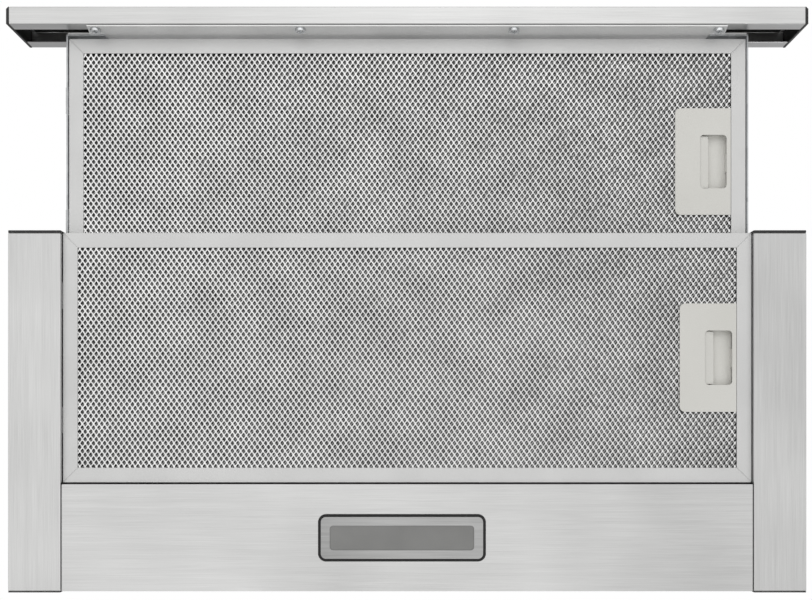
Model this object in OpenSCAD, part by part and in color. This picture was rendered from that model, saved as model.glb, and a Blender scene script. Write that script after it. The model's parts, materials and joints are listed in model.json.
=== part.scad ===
// Slide-out range hood for mounting under a wall cabinet.
// +Z is up and -Y is the front. The origin is the centre of the fixing pattern
// on the top face of the blower housing. The tray is modelled pulled out.

/* [Hood] */
// Width of the front bar, the widest piece
hood_w = 600; // [500:1:900]
// Depth of the fixed body, front edge to back edge
hood_d = 270; // [255:1:340]
// Height of the steel base and of the front bar
base_h = 46; // [45:0.5:70]
// Height of the blower housing above the base
housing_h = 130; // [128:1:200]
// Distance that each side of the body stands in from the end of the bar
body_inset = 1.5; // [0.5:0.1:5]
// Thickness of the folded steel sheet
sheet = 1; // [0.6:0.1:1.2]

/* [Side channels] */
// Width of the strip that each side channel shows from below
strip_w = 39.2; // [32:0.1:60]
// Height of the inner lip of each side channel
lip_h = 11.5; // [10.5:0.1:12.5]
// Thickness of the black caps at the front of the side channels
front_cap_t = 2; // [1.5:0.1:3]
// Distance that the front caps stand forward of the body's front edge
cap_out = 1; // [0.5:0.1:1.3]
// Thickness of the caps at the back of the side channels
rear_cap_t = 1; // [0.8:0.1:2]
// Length of the rubber stop bumpers that stand out of the front caps
bumper_l = 2.7; // [2:0.1:6]

/* [Front bar] */
// Depth of the front bar
bar_d = 13; // [12:0.1:24]
// Height of the two lips at the back of the front bar
bar_lip = 11; // [10:0.1:16]
// Thickness of the black end caps of the front bar
bar_cap_t = 1.8; // [1:0.1:4]
// Distance between the button centres
button_pitch = 20; // [16:0.5:30]
// Radius of a button
button_r = 5; // [3.5:0.1:7]
// Place of the middle button along the bar
button_x = 160; // [0:1:180]
// Travel of a button
button_travel = 1.5; // [0.8:0.1:2]

/* [Tray] */
// Distance that the tray slides
travel = 151; // [110:1:170]
// Height of the tray rails
rail_h = 22; // [21:0.1:24]
// Thickness of the tray rails
rail_t = 1.2; // [1:0.1:1.6]
// Length of the nylon shoes at the back of the rails
shoe_l = 54.5; // [40:0.5:60]
// Length of the rail behind the front filter
rail_tail = 48.2; // [30:0.1:60]

/* [Filters] */
// Thickness of a filter cassette
filter_t = 9; // [8:0.1:11]
// Width of the aluminium face round a filter
face_w = 11; // [9:0.1:16]
// Thickness of the aluminium profile
skin = 0.8; // [0.6:0.1:1]
// Gap beside each filter
side_gap = 0.5; // [0.4:0.1:1]
// Height of the rear filter above the underside of the body
rear_filter_up = 4; // [3.5:0.1:5]
// Gap between the two filters with the tray shut
filter_gap = 4; // [3:0.1:6]
// Width of a handle plate
plate_w = 42.5; // [40:0.1:50]
// Length of a handle plate
plate_l = 81.5; // [76:0.1:100]
// Width of the finger recess
recess_w = 20.5; // [19:0.1:24]
// Length of the finger recess
recess_l = 41; // [36:0.1:42]
// Travel of a latch
latch_travel = 5; // [3:0.1:5.5]

/* [Rear panel and lamp] */
// Depth of the fixed rear panel
panel_d = 80; // [70:0.5:110]
// Width of the lamp over its gasket
lamp_w = 125.4; // [90:0.1:200]
// Depth of the lamp over its gasket
lamp_d = 35.4; // [32:0.1:50]
// Place of the lamp centre along the panel
lamp_x = -3.9; // [-60:0.1:60]

/* [Blower] */
// Outer radius of the impeller
impeller_r = 47; // [40:0.5:47]
// Half of the inside width of the scroll
scroll_hw = 48; // [40:0.5:49]
// Number of blades
blades = 30; // [20:1:32]
// Outer radius of the duct collar
collar_r = 59.5; // [59:0.1:75]
// Height of the duct collar above the housing
collar_h = 34; // [28:0.5:60]
// Place of the collar centre behind the blower axis
collar_y = 43; // [42:0.5:46]
// Radius of the motor
motor_r = 30; // [20:0.5:31]
// Radius of the motor shaft
shaft_r = 4; // [3:0.1:5]
// Radius of the bore for the mains cable
gland_bore_r = 3.6; // [3:0.1:5]
// Radius of the fixing holes in the top
fixing_r = 2.5; // [2:0.1:4]

/* [Hidden] */
round_fn = 48;
eps = 0.01;
over = 2;

// Colours
steel = [0.83, 0.83, 0.82];
inner_steel = [0.66, 0.66, 0.67];
aluminium = [0.8, 0.8, 0.79];
mesh_grey = [0.6, 0.6, 0.59];
black = [0.1, 0.1, 0.1];
handle_grey = [0.81, 0.81, 0.79];
white_plastic = [0.9, 0.9, 0.88];

// Main levels and edges
z_under = -(base_h + housing_h);
z_base = -housing_h;
y_front = -hood_d / 2;
y_cap = y_front - cap_out;
y_steel = y_cap + front_cap_t;
y_back = hood_d / 2;
body_hw = hood_w / 2 - body_inset;
chan_x = body_hw - strip_w;
function up(h) = z_under + h;

// Filters
filter_w = 2 * (chan_x - side_gap);
filter_front_gap = 0.3;
panel_gap = 1.2;
panel_back_gap = 1;
panel_y0 = y_back - panel_back_gap - panel_d;
panel_y1 = y_back - panel_back_gap;
rear_filter_y = y_front + filter_front_gap;
filter_d = panel_y0 - panel_gap - rear_filter_y;
front_filter_y = rear_filter_y - travel;
front_filter_up = rear_filter_up + filter_t + filter_gap;
mesh_hw = filter_w / 2 - 6.8;
mesh_hd = filter_d / 2 - 6;
face_mesh_t = 0.7;
core_gap = 0.5;
mitre_w = 0.5;
mitre_deep = 0.3;

// Handle and latch, measured from the middle of a filter and its underside
plate_x1 = filter_w / 2 - face_w - 0.3;
plate_x0 = plate_x1 - plate_w;
plate_r = 4;
pocket_wall = 1.4;
pocket_x0 = plate_x0 + 1.1;
pocket_x1 = plate_x1 - 0.3;
pocket_hl = plate_l / 2 - 1.1;
pocket_gap = 0.3;
recess_x1 = pocket_x1 - 2.8;
recess_x0 = recess_x1 - recess_w;
recess_r = 3;
latch_z = filter_t - 3;
latch_t = 1.4;
latch_gap = 0.3;
latch_hl = recess_l / 2 + 3.5;
latch_x0 = recess_x0 - 8;
latch_x1 = pocket_x1 - pocket_wall - pocket_gap;
latch_stem = latch_x1 - recess_x1;
latch_tail = 3;
finger_w = 6.7;
finger_slope = 1;
finger_x0 = recess_x0 + 0.3;
finger_z = skin + 0.5;
finger_end_gap = 0.6;
bolt_hw = 7;
bolt_z0 = 3;
bolt_z1 = 5.5;
bolt_in = 1.1;
bolt_x1 = chan_x + bolt_in;
bolt_gap = 0.3;
spring_r = 1.7;
spring_wire = 0.25;
spring_turns = 4;
spring_steps = 12;
spring_sides = 6;
tab_hw = 10;
tab_t = 1.2;
tab_out = 2.8;
tab_in = 5.2;
tab_gap = 0.1;
tab_slot_gap = 0.4;
tab_slot_h = 5.4;
tab_y = filter_d / 4;

// Tray
bar_gap = 0.6;
bar_y1 = y_cap - bumper_l - bar_gap - travel;
bar_y0 = bar_y1 - bar_d;
bar_hw = hood_w / 2 - bar_cap_t;
member_y0 = bar_y1 + 0.4;
member_y1 = member_y0 + sheet;
member_up = 0.8;
member_hw = chan_x - 19.3;
member_slant = 2.5;
rail_up = front_filter_up - 1;
rail_x = chan_x;
rail_y0 = member_y1;
rail_y1 = front_filter_y + filter_d + rail_tail;
rail_tab_x = rail_x - 28.3;
shoe_y0 = rail_y1 - shoe_l;
runner_t = 1.4;
runner_up = rail_up + 8;
runner_h = 7;
runner_y0 = rail_y0 + 16;
screw_up = 6;
screw_r = 2;
screw_head_r = 4;
screw_head_t = 2.2;
tray_screw_x = [-(chan_x - 24.3), -80.5, 80.5, chan_x - 24.3];

// Guides
guide_up = rail_up + 4;
guide_h = 16;
guide_t = 1.2;
guide_x0 = chan_x + 3.2;
guide_x1 = chan_x + 16.4;
guide_y0 = y_front + 4;
guide_y1 = y_back - 4;
slide_gap = 0.4;
glide_y1 = shoe_y0 - 0.5;
lug_y = [-hood_d * 0.37, 0, hood_d * 0.37];
lug_hl = 8;

// Housing
housing_hw = chan_x + 4.7;
housing_y0 = y_front + 7;
housing_y1 = panel_y1 - sheet;
flange_x0 = housing_hw + 6;
flange_x1 = housing_hw + 24;
flange_screw_x = housing_hw + 15;
flange_screw_y = [y_front + 35, 0, y_back - 35];
fixing_x = hood_w / 2 - 60;
fixing_y = y_back - 45;

// Blower, axis along X
axis_z = -housing_h / 2;
scroll_wall = 2;
scroll_start = 75;
scroll_step = 7.5;
scroll_r0 = impeller_r + 5;
outlet_hd = 29;
scroll_r1 = collar_y + outlet_hd;
inlet_r = impeller_r - 7;
collar_wall = 2;
collar_flange_r = collar_r + 8.5;
collar_flange_t = 1.5;
collar_gap = 0.3;
collar_seat = 2;
collar_neck_r = collar_r - 0.8;
scroll_top = -sheet - collar_flange_t;
ring_bore = impeller_r - 9;
disc_r = ring_bore + 1.25;
impeller_hw = scroll_hw - 4;
ring_t = 2;
blade_hl = impeller_hw - ring_t - 0.02;
blade_w = 7.2;
blade_t = 1;
blade_lean = 35;
hub_r = 10;
hub_hw = 5;
motor_x0 = -(scroll_hw + 10);
motor_x1 = -(hub_hw + 1);
shaft_gap = 0.05;
pin_z = 12;
pin_r = 1.5;
knuckle_r = 2.9;
knuckle_bore = pin_r + 0.06;
flap_t = 1.2;
flap_r = collar_r - collar_wall - 0.7;
flap_split = knuckle_r + 0.5;
knuckle_l = 12;
front_knuckles = [-36, 12];
rear_knuckles = [-20, 28];
gland_y = panel_y1 - 49;
gland_z = -38;
gland_r = 7.9;

// A box between two corners
module block(x, y, z) {
  translate([x[0], y[0], z[0]]) cube([x[1] - x[0], y[1] - y[0], z[1] - z[0]]);
}

// A YZ outline carried along X
module along_x(x0, x1) {
  translate([x0, 0, 0]) rotate([90, 0, 90]) linear_extrude(height = x1 - x0) children();
}

// An XZ outline carried along Y
module along_y(y0, y1) {
  translate([0, y1, 0]) rotate([90, 0, 0]) linear_extrude(height = y1 - y0) children();
}

// The same shape on the right and, mirrored, on the left
module both_sides() {
  children();
  mirror([1, 0, 0]) children();
}

// A round bar or hole along X, Y or Z
module rod_x(r, x0, x1) {
  translate([x0, 0, 0]) rotate([0, 90, 0]) cylinder(r = r, h = x1 - x0, $fn = round_fn);
}
module rod_y(r, y0, y1) {
  translate([0, y0, 0]) rotate([-90, 0, 0]) cylinder(r = r, h = y1 - y0, $fn = round_fn);
}
module rod_z(r, z0, z1) {
  translate([0, 0, z0]) cylinder(r = r, h = z1 - z0, $fn = round_fn);
}

// A rectangle with round corners, centred
module rounded(w, d, r) {
  square([w - 2 * r, d], center = true);
  square([w, d - 2 * r], center = true);
  for (sx = [-1, 1], sy = [-1, 1])
    translate([sx * (w / 2 - r), sy * (d / 2 - r)]) circle(r = r, $fn = round_fn);
}
module rounded_plate(w, d, r, z0, z1) {
  translate([0, 0, z0]) linear_extrude(height = z1 - z0) rounded(w, d, r);
}

// ---- Fixed body ----

module side_channel_outline() {
  polygon([
    [chan_x, z_under], [body_hw, z_under], [body_hw, z_base], [flange_x0, z_base],
    [flange_x0, z_base - sheet], [body_hw - sheet, z_base - sheet],
    [body_hw - sheet, z_under + sheet], [chan_x + sheet, z_under + sheet],
    [chan_x + sheet, up(lip_h)], [chan_x, up(lip_h)],
  ]);
}

module channel_screw_holes() {
  for (y = flange_screw_y)
    translate([flange_screw_x, y, 0]) rod_z(screw_r, z_base - over, z_base + sheet + over);
}

module side_channel_right() {
  color(steel) difference() {
    along_y(y_steel, y_back - rear_cap_t) side_channel_outline();
    channel_screw_holes();
    at_rear_filter() bolt_slot();
  }
}

module side_channel_left() {
  color(steel) difference() {
    mirror([1, 0, 0]) along_y(y_steel, y_back - rear_cap_t) side_channel_outline();
    mirror([1, 0, 0]) channel_screw_holes();
    at_rear_filter() tab_slots();
  }
}

cap_notch_x = chan_x + 3.7;
cap_notch = [rail_up - 2, rail_up + rail_h + 4];

module channel_end_caps() {
  color(black) both_sides() {
    along_y(y_cap, y_steel) polygon([
      [chan_x, z_under], [body_hw, z_under], [body_hw, z_base], [chan_x, z_base],
      [chan_x, up(cap_notch[1])], [cap_notch_x, up(cap_notch[1])],
      [cap_notch_x, up(cap_notch[0])], [chan_x, up(cap_notch[0])],
    ]);
    block([chan_x, body_hw], [y_back - rear_cap_t, y_back], [z_under, z_base]);
  }
}

panel_lip = 12;
panel_wall_h = base_h + 14;
lamp_y = (panel_y0 + panel_y1) / 2;
lamp_cut_w = lamp_w - 10;
lamp_cut_d = lamp_d - 10;

module rear_panel() {
  color(steel) difference() {
    union() {
      block([-filter_w / 2, filter_w / 2], [panel_y0, panel_y1], [z_under, up(sheet)]);
      block([-filter_w / 2, filter_w / 2], [panel_y0, panel_y0 + sheet], [z_under, up(panel_lip)]);
      block([-filter_w / 2, filter_w / 2], [panel_y1 - sheet, panel_y1], [z_under, up(panel_wall_h)]);
    }
    translate([lamp_x, lamp_y, z_under])
      block([-lamp_cut_w / 2, lamp_cut_w / 2], [-lamp_cut_d / 2, lamp_cut_d / 2], [-over, sheet + over]);
  }
}

front_rail_h = 5;
front_rail_d = 12;

module base_front_rail() {
  color(inner_steel) {
    block([-flange_x0, flange_x0], [y_steel, y_steel + front_rail_d], [z_base - sheet, z_base]);
    block([-chan_x, chan_x], [y_steel, y_steel + sheet],
      [z_base - front_rail_h, z_base - sheet / 2]);
  }
}

module guide_channels() {
  color(inner_steel) both_sides() {
    along_y(guide_y0, guide_y1) polygon([
      [guide_x0, up(guide_up)], [guide_x1, up(guide_up)],
      [guide_x1, up(guide_up + guide_h)], [guide_x0, up(guide_up + guide_h)],
      [guide_x0, up(guide_up + guide_h - guide_t)],
      [guide_x1 - guide_t, up(guide_up + guide_h - guide_t)],
      [guide_x1 - guide_t, up(guide_up + guide_t)], [guide_x0, up(guide_up + guide_t)],
    ]);
    for (y = lug_y)
      block([guide_x1 - guide_t, guide_x1], [y - lug_hl, y + lug_hl],
        [up(guide_up + guide_h) - eps, z_base - sheet]);
  }
}

module glide_blocks() {
  color(white_plastic) both_sides() difference() {
    block([rail_x + rail_t + slide_gap, guide_x1 - guide_t], [guide_y0, glide_y1],
      [up(guide_up + guide_t), up(guide_up + guide_h - guide_t)]);
    block([rail_x, rail_x + rail_t + runner_t + slide_gap], [guide_y0 - over, glide_y1 + over],
      [up(runner_up - slide_gap), up(runner_up + runner_h + slide_gap)]);
  }
}

bumper_x = [chan_x + 9, body_hw - 6];
bumper_z = [z_base - 14, z_base - 4];

module stop_bumpers() {
  color(black) both_sides() block(bumper_x, [y_cap - bumper_l, y_cap], bumper_z);
}

// ---- Lamp ----

gasket_w = 2;
gasket_t = 1;
bezel_t = 1.4;
lens_w = lamp_w - 17.7;
lens_d = lamp_d - 17.1;
lens_r = 2.6;
tub_wall = 1.5;
tub_h = 12;
tub_w = lamp_cut_w - 1;
tub_d = lamp_cut_d - 1;
lens_gap = 0.1;

module at_lamp() {
  translate([lamp_x, lamp_y, z_under]) children();
}

module lamp_gasket() {
  color(black) at_lamp() difference() {
    rounded_plate(lamp_w, lamp_d, 6, -gasket_t, 0);
    rounded_plate(lamp_w - 2 * gasket_w, lamp_d - 2 * gasket_w, 4, -gasket_t - over, over);
  }
}

module lamp_bezel() {
  color(steel) at_lamp() difference() {
    union() {
      rounded_plate(lamp_w - 2 * gasket_w - 0.2, lamp_d - 2 * gasket_w - 0.2, 3.9, -bezel_t, 0);
      block([-tub_w / 2, tub_w / 2], [-tub_d / 2, tub_d / 2], [-eps, tub_h]);
    }
    rounded_plate(lens_w, lens_d, lens_r, -bezel_t - over, over);
    block([-tub_w / 2 + tub_wall, tub_w / 2 - tub_wall], [-tub_d / 2 + tub_wall, tub_d / 2 - tub_wall],
      [0, tub_h - tub_wall]);
  }
}

module lamp_diffuser() {
  color([0.55, 0.55, 0.54]) at_lamp() union() {
    rounded_plate(lens_w - 2 * lens_gap, lens_d - 2 * lens_gap, lens_r - lens_gap, -bezel_t + 0.4, 1);
    block([-lens_w / 2 - 1, lens_w / 2 + 1], [-lens_d / 2 - 1, lens_d / 2 + 1], [0, 1.5]);
  }
}

led_count = 8;
led_size = 3;
board_up = 6;
board_t = 1.6;

module lamp_led_board() {
  color([0.85, 0.87, 0.85]) at_lamp() {
    block([-tub_w / 2 + tub_wall, tub_w / 2 - tub_wall], [-tub_d / 2 + tub_wall, tub_d / 2 - tub_wall],
      [board_up, board_up + board_t]);
    for (i = [0 : led_count - 1]) {
      x = (i - (led_count - 1) / 2) * (tub_w - 16) / (led_count - 1);
      block([x - led_size / 2, x + led_size / 2], [-led_size / 2, led_size / 2], [board_up - 0.8, board_up + eps]);
    }
  }
}

driver_x = lamp_x + lamp_w / 2 + 12;
driver_w = 60;
driver_d = 22;
driver_h = 16;

module lamp_driver() {
  color(white_plastic) {
    block([driver_x, driver_x + driver_w], [lamp_y - driver_d / 2, lamp_y + driver_d / 2],
      [up(sheet), up(sheet + driver_h)]);
    block([driver_x - 6, driver_x + driver_w + 6], [lamp_y - driver_d / 4, lamp_y + driver_d / 4],
      [up(sheet), up(sheet + 2)]);
  }
}

// ---- Housing and blower ----

module housing_shell() {
  color(inner_steel) difference() {
    union() {
      block([-housing_hw, housing_hw], [housing_y0, housing_y1], [z_base, 0]);
      block([-flange_x1, flange_x1], [housing_y0, housing_y1], [z_base, z_base + sheet]);
      block([-chan_x, chan_x], [y_steel, housing_y0 + eps], [z_base, z_base + sheet]);
    }
    block([-housing_hw + sheet, housing_hw - sheet], [housing_y0 + sheet, housing_y1 - sheet],
      [z_base - over, -sheet]);
    translate([0, collar_y, 0]) rod_z(collar_r + collar_gap, -sheet - over, over);
    for (sx = [-1, 1], sy = [-1, 1])
      translate([sx * fixing_x, sy * fixing_y, 0]) rod_z(fixing_r, -sheet - over, over);
    both_sides() for (y = flange_screw_y)
      translate([flange_screw_x, y, 0]) rod_z(screw_r, z_base - over, z_base + sheet + over);
    translate([0, gland_y, gland_z]) rod_x(gland_r + 0.1, -housing_hw - over, -housing_hw + sheet + over);
  }
}

module housing_screws() {
  color([0.75, 0.75, 0.76]) both_sides() for (y = flange_screw_y)
    translate([flange_screw_x, y, 0]) {
      rod_z(screw_head_r, z_base + sheet, z_base + sheet + 2);
      rod_z(screw_r - 0.05, z_base - sheet - 3, z_base + sheet + eps);
    }
}

function scroll_r(a) = scroll_r0 + (a - scroll_start) * (scroll_r1 - scroll_r0) / (360 - scroll_start);
function on_scroll(a, wall) = [(scroll_r(a) + wall) * cos(a), (scroll_r(a) + wall) * sin(a)];
scroll_inner = [
  for (a = [scroll_start : scroll_step : 360]) on_scroll(a, 0),
  [scroll_r1, scroll_top - axis_z],
  [collar_y - outlet_hd, scroll_top - axis_z],
];
scroll_outer = [
  for (a = [scroll_start + scroll_step : scroll_step : 360]) on_scroll(a, scroll_wall),
  [scroll_r1 + scroll_wall, scroll_top - axis_z],
  [collar_y - outlet_hd - scroll_wall, scroll_top - axis_z],
  [collar_y - outlet_hd - scroll_wall, scroll_r0 + 1],
];

module scroll_half() {
  translate([0, 0, axis_z]) {
    along_x(0, scroll_hw + eps) difference() {
      polygon(scroll_outer);
      polygon(scroll_inner);
    }
    difference() {
      along_x(scroll_hw, scroll_hw + scroll_wall) polygon(scroll_outer);
      rod_x(inlet_r, scroll_hw - over, scroll_hw + scroll_wall + over);
    }
  }
}

module scroll_right() {
  color([0.3, 0.3, 0.31]) scroll_half();
}

module scroll_left() {
  color([0.3, 0.3, 0.31]) mirror([1, 0, 0]) scroll_half();
}

module ring_x(r_out, r_in, x0, x1) {
  difference() {
    rod_x(r_out, x0, x1);
    rod_x(r_in, x0 - over, x1 + over);
  }
}

guard_t = 1.5;
guard_rings = [0.3, 0.55, 0.8];

module inlet_guard() {
  color(black) translate([0, 0, axis_z]) {
    x0 = scroll_hw + scroll_wall;
    ring_x(inlet_r + 5, inlet_r - 1, x0, x0 + guard_t);
    for (k = guard_rings) ring_x(inlet_r * k + 0.8, inlet_r * k - 0.8, x0, x0 + guard_t);
    for (a = [0, 90]) rotate([a + 45, 0, 0])
      block([x0, x0 + guard_t], [-inlet_r, inlet_r], [-1, 1]);
  }
}

module motor_body() {
  color([0.6, 0.61, 0.62]) translate([0, 0, axis_z]) difference() {
    union() {
      rod_x(motor_r, motor_x0, motor_x1 - 4);
      rod_x(motor_r * 0.6, motor_x1 - 4 - eps, motor_x1);
    }
    rod_x(shaft_r + shaft_gap, motor_x0 - over, motor_x1 + over);
  }
}

bracket_t = 4;
arm_hw = 3;

module motor_bracket() {
  color(black) translate([0, 0, axis_z]) {
    x1 = -(scroll_hw + scroll_wall);
    ring_x(motor_r + 4, motor_r + 0.1, x1 - bracket_t, x1);
    for (a = [90, 210, 330]) rotate([a, 0, 0])
      block([x1 - bracket_t, x1], [motor_r + 2, inlet_r + 7], [-arm_hw, arm_hw]);
  }
}

cap_r = 15;
cap_x = [150, 205];
cap_y = -70;

module run_capacitor() {
  color([0.88, 0.88, 0.86]) translate([0, cap_y, -sheet - cap_r]) {
    rod_x(cap_r, cap_x[0], cap_x[1]);
    rod_x(cap_r * 0.4, cap_x[1] - eps, cap_x[1] + 6);
    block([cap_x[0] + 20, cap_x[0] + 32], [-cap_r - 5, cap_r + 5], [cap_r - 2, cap_r]);
  }
}

term_x = [-housing_hw + sheet, -housing_hw + sheet + 38];
term_y = [gland_y - 25, gland_y + 25];
term_z = [gland_z - 22, gland_z + 22];
term_wall = 2;

module terminal_box() {
  color(black) difference() {
    block(term_x, term_y, term_z);
    block([term_x[0] + term_wall, term_x[1] + over], [term_y[0] + term_wall, term_y[1] - term_wall],
      [term_z[0] + term_wall, term_z[1] - term_wall]);
    translate([0, gland_y, gland_z]) rod_x(gland_r + 0.1, term_x[0] - over, term_x[0] + term_wall + over);
  }
}

module terminal_cover() {
  color(black) block([term_x[1], term_x[1] + term_wall], term_y, term_z);
}

module cable_gland() {
  color(black) translate([0, gland_y, gland_z]) difference() {
    union() {
      rod_x(gland_r, -housing_hw - 4, term_x[0] + 8);
      rod_x(gland_r + 3, -housing_hw - 6, -housing_hw);
      rod_x(gland_r - 1, -housing_hw - 12, -housing_hw - 5);
    }
    rod_x(gland_bore_r, -housing_hw - 12 - over, term_x[0] + 8 + over);
  }
}

// ---- Duct collar and damper ----

module outlet_collar() {
  color(black) translate([0, collar_y, 0]) difference() {
    union() {
      rod_z(collar_r, collar_seat, collar_h);
      rod_z(collar_neck_r, -sheet - eps, collar_seat + eps);
      rod_z(collar_flange_r, -sheet - collar_flange_t, -sheet);
    }
    rod_z(collar_r - collar_wall, -sheet - collar_flange_t - over, collar_h + over);
    translate([0, 0, pin_z]) rod_x(pin_r, -collar_r - over, collar_r + over);
  }
}

module damper_pin() {
  color([0.75, 0.75, 0.76]) translate([0, collar_y, pin_z]) rod_x(pin_r, -collar_r + 0.4, collar_r - 0.4);
}

// One half disc, lying towards +Y from the pin, with a link to each of its knuckles
module flap(own) {
  difference() {
    union() {
      intersection() {
        rod_z(flap_r, -flap_t / 2, flap_t / 2);
        block([-flap_r, flap_r], [flap_split, flap_r], [-flap_t, flap_t]);
      }
      for (x = own) {
        rod_x(knuckle_r, x, x + knuckle_l);
        block([x, x + knuckle_l], [0, flap_split + eps], [-flap_t / 2, flap_t / 2]);
      }
    }
    rod_x(knuckle_bore, -flap_r - over, flap_r + over);
  }
}

module damper_flap_rear() {
  color(black) translate([0, collar_y, pin_z]) flap(rear_knuckles);
}

module damper_flap_front() {
  color(black) translate([0, collar_y, pin_z])
    mirror([0, 1, 0]) flap(front_knuckles);
}

// End rings, a hub disc and loose-fitted blades between the rings, outside the disc
module impeller() {
  color([0.2, 0.2, 0.21]) translate([0, 0, axis_z]) {
    difference() {
      union() {
        rod_x(disc_r, -ring_t / 2, ring_t / 2);
        rod_x(hub_r, -hub_hw, hub_hw);
      }
      rod_x(shaft_r + 0.02, -hub_hw - over, hub_hw + over);
    }
    for (s = [-1, 1])
      ring_x(impeller_r, ring_bore, s > 0 ? impeller_hw - ring_t : -impeller_hw,
        s > 0 ? impeller_hw : -impeller_hw + ring_t);
    for (i = [0 : blades - 1]) rotate([i * 360 / blades, 0, 0])
      translate([0, (impeller_r + ring_bore) / 2, 0]) rotate([blade_lean, 0, 0])
        block([-blade_hl, blade_hl], [-blade_w / 2, blade_w / 2], [-blade_t / 2, blade_t / 2]);
  }
}

module motor_shaft() {
  color([0.8, 0.8, 0.8]) translate([0, 0, axis_z]) rod_x(shaft_r, motor_x0 - 5, hub_hw + 8);
}

// ---- Sliding tray ----

button_z = (z_under + z_base) / 2;
buttons_x = [for (i = [-2 : 2]) button_x + i * button_pitch];

module front_bar() {
  color(steel) difference() {
    along_x(-bar_hw, bar_hw) polygon([
      [bar_y0, z_under], [bar_y1, z_under], [bar_y1, up(bar_lip)], [bar_y1 - sheet, up(bar_lip)],
      [bar_y1 - sheet, up(sheet)], [bar_y0 + sheet, up(sheet)], [bar_y0 + sheet, z_base - sheet],
      [bar_y1 - sheet, z_base - sheet], [bar_y1 - sheet, z_base - bar_lip],
      [bar_y1, z_base - bar_lip], [bar_y1, z_base], [bar_y0, z_base],
    ]);
    for (x = tray_screw_x)
      translate([x, 0, up(screw_up)]) rod_y(screw_r, bar_y1 - sheet - over, bar_y1 + over);
    for (x = buttons_x)
      translate([x, 0, button_z]) rod_y(button_r + 0.3, bar_y0 - over, bar_y0 + sheet + over);
  }
}

module bar_end_caps() {
  color(black) both_sides() difference() {
    block([bar_hw, hood_w / 2], [bar_y0, bar_y1], [z_under, z_base]);
    translate([hood_w / 2, bar_y0, 0]) rotate([0, 0, 45])
      block([-bar_cap_t * 0.7, bar_cap_t * 0.7], [-bar_cap_t * 0.7, bar_cap_t * 0.7],
        [z_under - over, z_base + over]);
  }
}

member_top = rail_up + rail_h;

module tray_front_member() {
  color(inner_steel) difference() {
    along_y(member_y0, member_y1) polygon([
      [-member_hw, up(member_up)], [member_hw, up(member_up)],
      [member_hw + member_slant, up(rail_up)], [rail_x, up(rail_up)], [rail_x, up(member_top)],
      [-rail_x, up(member_top)], [-rail_x, up(rail_up)], [-member_hw - member_slant, up(rail_up)],
    ]);
    for (x = tray_screw_x)
      translate([x, 0, up(screw_up)]) rod_y(screw_r, member_y0 - over, member_y1 + over);
  }
}

module tray_rail() {
  block([rail_x, rail_x + rail_t], [rail_y0, rail_y1], [up(rail_up), up(rail_up + rail_h)]);
  block([rail_tab_x, rail_x + rail_t], [rail_y0, rail_y0 + rail_t], [up(rail_up), up(rail_up + rail_h)]);
}

module tray_rail_right() {
  color(inner_steel) difference() {
    tray_rail();
    at_front_filter() bolt_slot();
  }
}

module tray_rail_left() {
  color(inner_steel) difference() {
    mirror([1, 0, 0]) tray_rail();
    at_front_filter() tab_slots();
  }
}

rear_member_y = front_filter_y + filter_d + 0.7;

module tray_rear_member() {
  color(inner_steel) {
    block([-rail_x, rail_x], [rear_member_y, rear_member_y + sheet], [up(rail_up + 4), up(rail_up + rail_h - 2)]);
    block([-rail_x, rail_x], [rear_member_y, rear_member_y + 8],
      [up(rail_up + rail_h - 2) - sheet, up(rail_up + rail_h - 2)]);
  }
}

module runner_strips() {
  color(white_plastic) both_sides()
    block([rail_x + rail_t, rail_x + rail_t + runner_t], [runner_y0, shoe_y0],
      [up(runner_up), up(runner_up + runner_h)]);
}

module tray_shoes() {
  color(white_plastic) both_sides()
    block([rail_x + rail_t, guide_x1 - guide_t - slide_gap], [shoe_y0, rail_y1],
      [up(guide_up + guide_t + slide_gap), up(guide_up + guide_h - guide_t - slide_gap)]);
}

module tray_screws() {
  color([0.8, 0.8, 0.8]) for (x = tray_screw_x) translate([x, 0, up(screw_up)]) difference() {
    union() {
      rod_y(screw_head_r, member_y1, member_y1 + screw_head_t);
      rod_y(screw_r - 0.05, bar_y1 - sheet - 4, member_y1 + eps);
    }
    for (a = [0, 90]) rotate([0, a, 0])
      block([-2.6, 2.6], [member_y1 + screw_head_t - 1, member_y1 + screw_head_t + over], [-0.45, 0.45]);
  }
}

cap_flange_t = 1;
stem_r = 2;
button_out = 2.2;
button_y1 = bar_y0 + sheet + 0.2 + cap_flange_t;
stem_l = 1;
board_y0 = button_y1 + stem_l + button_travel + 0.2;

module control_board() {
  color([0.15, 0.35, 0.2]) {
    block([buttons_x[0] - 14, buttons_x[4] + 14], [board_y0, board_y0 + board_t], [button_z - 9, button_z + 9]);
    for (x = [buttons_x[0] - 12, buttons_x[4] + 12])
      translate([x, 0, button_z]) rod_y(stem_r, bar_y0 + sheet, board_y0 + eps);
  }
}

bezel_plate_t = 0.7;

module button_bezel() {
  color(black) difference() {
    block([buttons_x[0] - 14, buttons_x[4] + 14], [bar_y0 - bezel_plate_t, bar_y0],
      [button_z - button_r - 3, button_z + button_r + 3]);
    for (x = buttons_x)
      translate([x, 0, button_z]) rod_y(button_r + 0.3, bar_y0 - bezel_plate_t - over, bar_y0 + over);
  }
}

module button(i) {
  color(white_plastic) translate([buttons_x[i], 0, button_z]) {
    rod_y(button_r, bar_y0 - bezel_plate_t - button_out, button_y1 - cap_flange_t + eps);
    rod_y(button_r + 1, button_y1 - cap_flange_t, button_y1);
    rod_y(stem_r, button_y1 - eps, button_y1 + stem_l);
  }
}

module light_button() { button(0); }
module off_button() { button(1); }
module low_button() { button(2); }
module medium_button() { button(3); }
module high_button() { button(4); }

// ---- Filters ----

module at_front_filter() {
  translate([0, front_filter_y + filter_d / 2, up(front_filter_up)]) children();
}

module at_rear_filter() {
  translate([0, rear_filter_y + filter_d / 2, up(rear_filter_up)]) children();
}

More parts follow.
